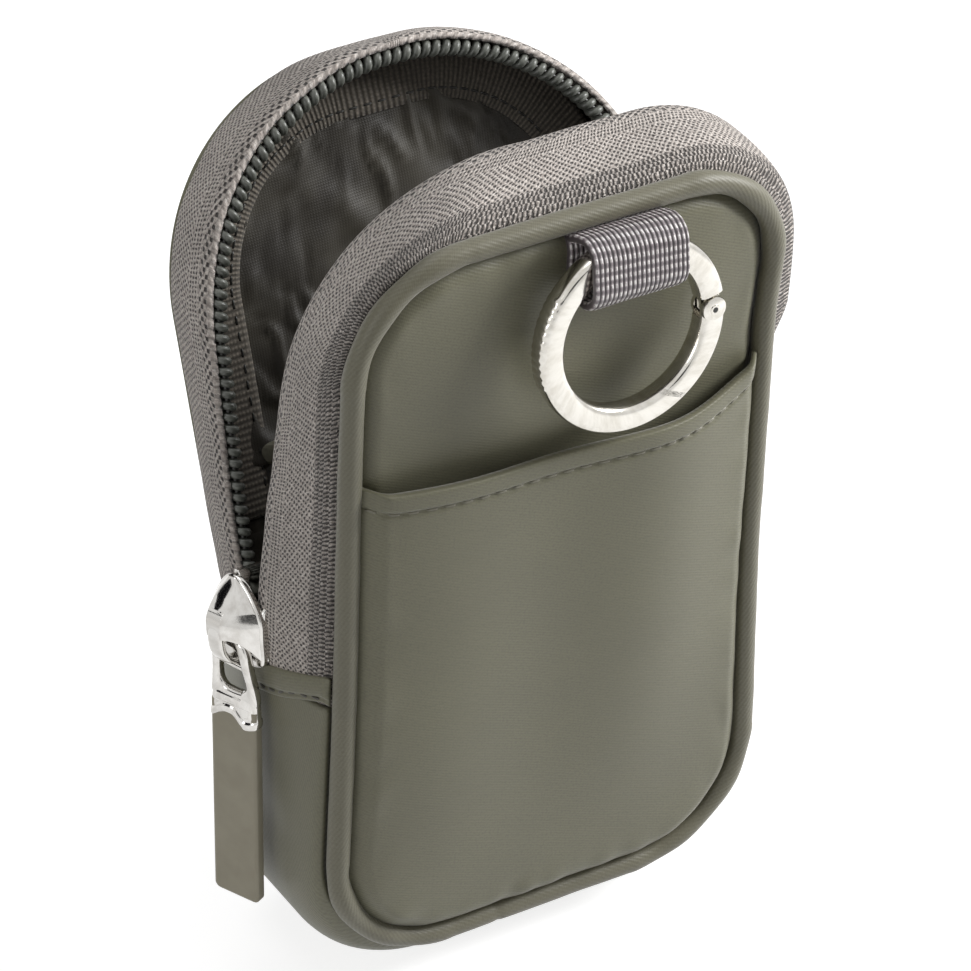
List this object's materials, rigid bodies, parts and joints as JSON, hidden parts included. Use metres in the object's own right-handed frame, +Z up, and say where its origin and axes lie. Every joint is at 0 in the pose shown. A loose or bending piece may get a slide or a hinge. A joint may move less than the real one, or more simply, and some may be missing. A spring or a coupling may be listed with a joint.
{
  "type": "key pouch",
  "caption": "Small padded key pouch standing open, with a zip round the top, a front slip pocket, corded edge, rubber zip pull, webbing loop and spring gate ring.",
  "frame": {"origin": "middle of the flat base of the lower gusset", "axes": "+X to the right seen from the front, +Y towards the rear half, +Z up"},
  "size_m": [0.0875, 0.0697, 0.1295],
  "materials": {
    "twill": "satin olive grey twill",
    "piping": "bias cut satin twill over cord",
    "foam": "soft padding",
    "lining": "thin dark lining cloth",
    "zip_tape": "heathered herringbone tape",
    "zip_coil": "nylon monofilament",
    "slider_metal": "bright plated",
    "moulded": "matt moulded rubber",
    "webbing": "shiny ribbed webbing",
    "ring_metal": "bright pale plating"
  },
  "bodies": {
    "pouch": {"front_panel": "twill", "front_padding": "foam", "front_lining": "lining", "front_pocket": "twill", "pocket_hem": "twill", "front_piping": "piping", "front_zip_tape": "zip_tape", "front_zip_coil": "zip_coil", "lower_gusset": "twill", "gusset_lining": "lining", "left_gusset_hem": "twill", "right_gusset_hem": "twill", "rear_panel_lower": "twill", "rear_padding_lower": "foam", "rear_lining_lower": "lining", "card_pocket_lower": "lining", "webbing_loop": "webbing"},
    "rear_half": {"rear_panel_upper": "twill", "rear_padding_upper": "foam", "rear_lining_upper": "lining", "rear_zip_tape": "zip_tape", "rear_zip_coil": "zip_coil", "card_pocket_upper": "lining", "card_pocket_binding": "twill"},
    "slider": {"slider_body": "slider_metal", "slider_crown": "slider_metal"},
    "pull": {"pull_link": "slider_metal", "pull_cap": "slider_metal", "pull_tab": "moulded"},
    "ring": {"ring_body": "ring_metal", "gate_pin": "ring_metal"},
    "gate": {"ring_gate": "ring_metal"}
  },
  "joints": [
    {"name": "rear_close", "type": "hinge", "parent": "pouch", "child": "rear_half", "pos_m": [0, 0.015, 0.054], "axis": [1, 0, 0], "range_deg": [0, 24]},
    {"name": "slider_run", "type": "slide", "parent": "pouch", "child": "slider", "axis": [0, 0, 1], "range_m": [0, 0.025]},
    {"name": "pull_swing", "type": "hinge", "parent": "slider", "child": "pull", "pos_m": [-0.04388, 0.0014, 0.0595], "axis": [0, 1, 0], "range_deg": [0, 150]},
    {"name": "ring_swing", "type": "hinge", "parent": "pouch", "child": "ring", "pos_m": [0.0052, -0.02048, 0.1234], "axis": [-1, 0, 0], "range_deg": [0, 110], "deforming": ["webbing_loop"]},
    {"name": "gate_open", "type": "hinge", "parent": "ring", "child": "gate", "pos_m": [0.0184, -0.01957, 0.11046], "axis": [0, 0.9976, 0.0698], "range_deg": [0, 28], "stiffness_Nm_per_rad": 0.02, "springref_deg": -17.19}
  ],
  "couplings": [
    {"joint": "slider_run", "follows": "rear_close", "m_per_rad": 0.059683}
  ]
}
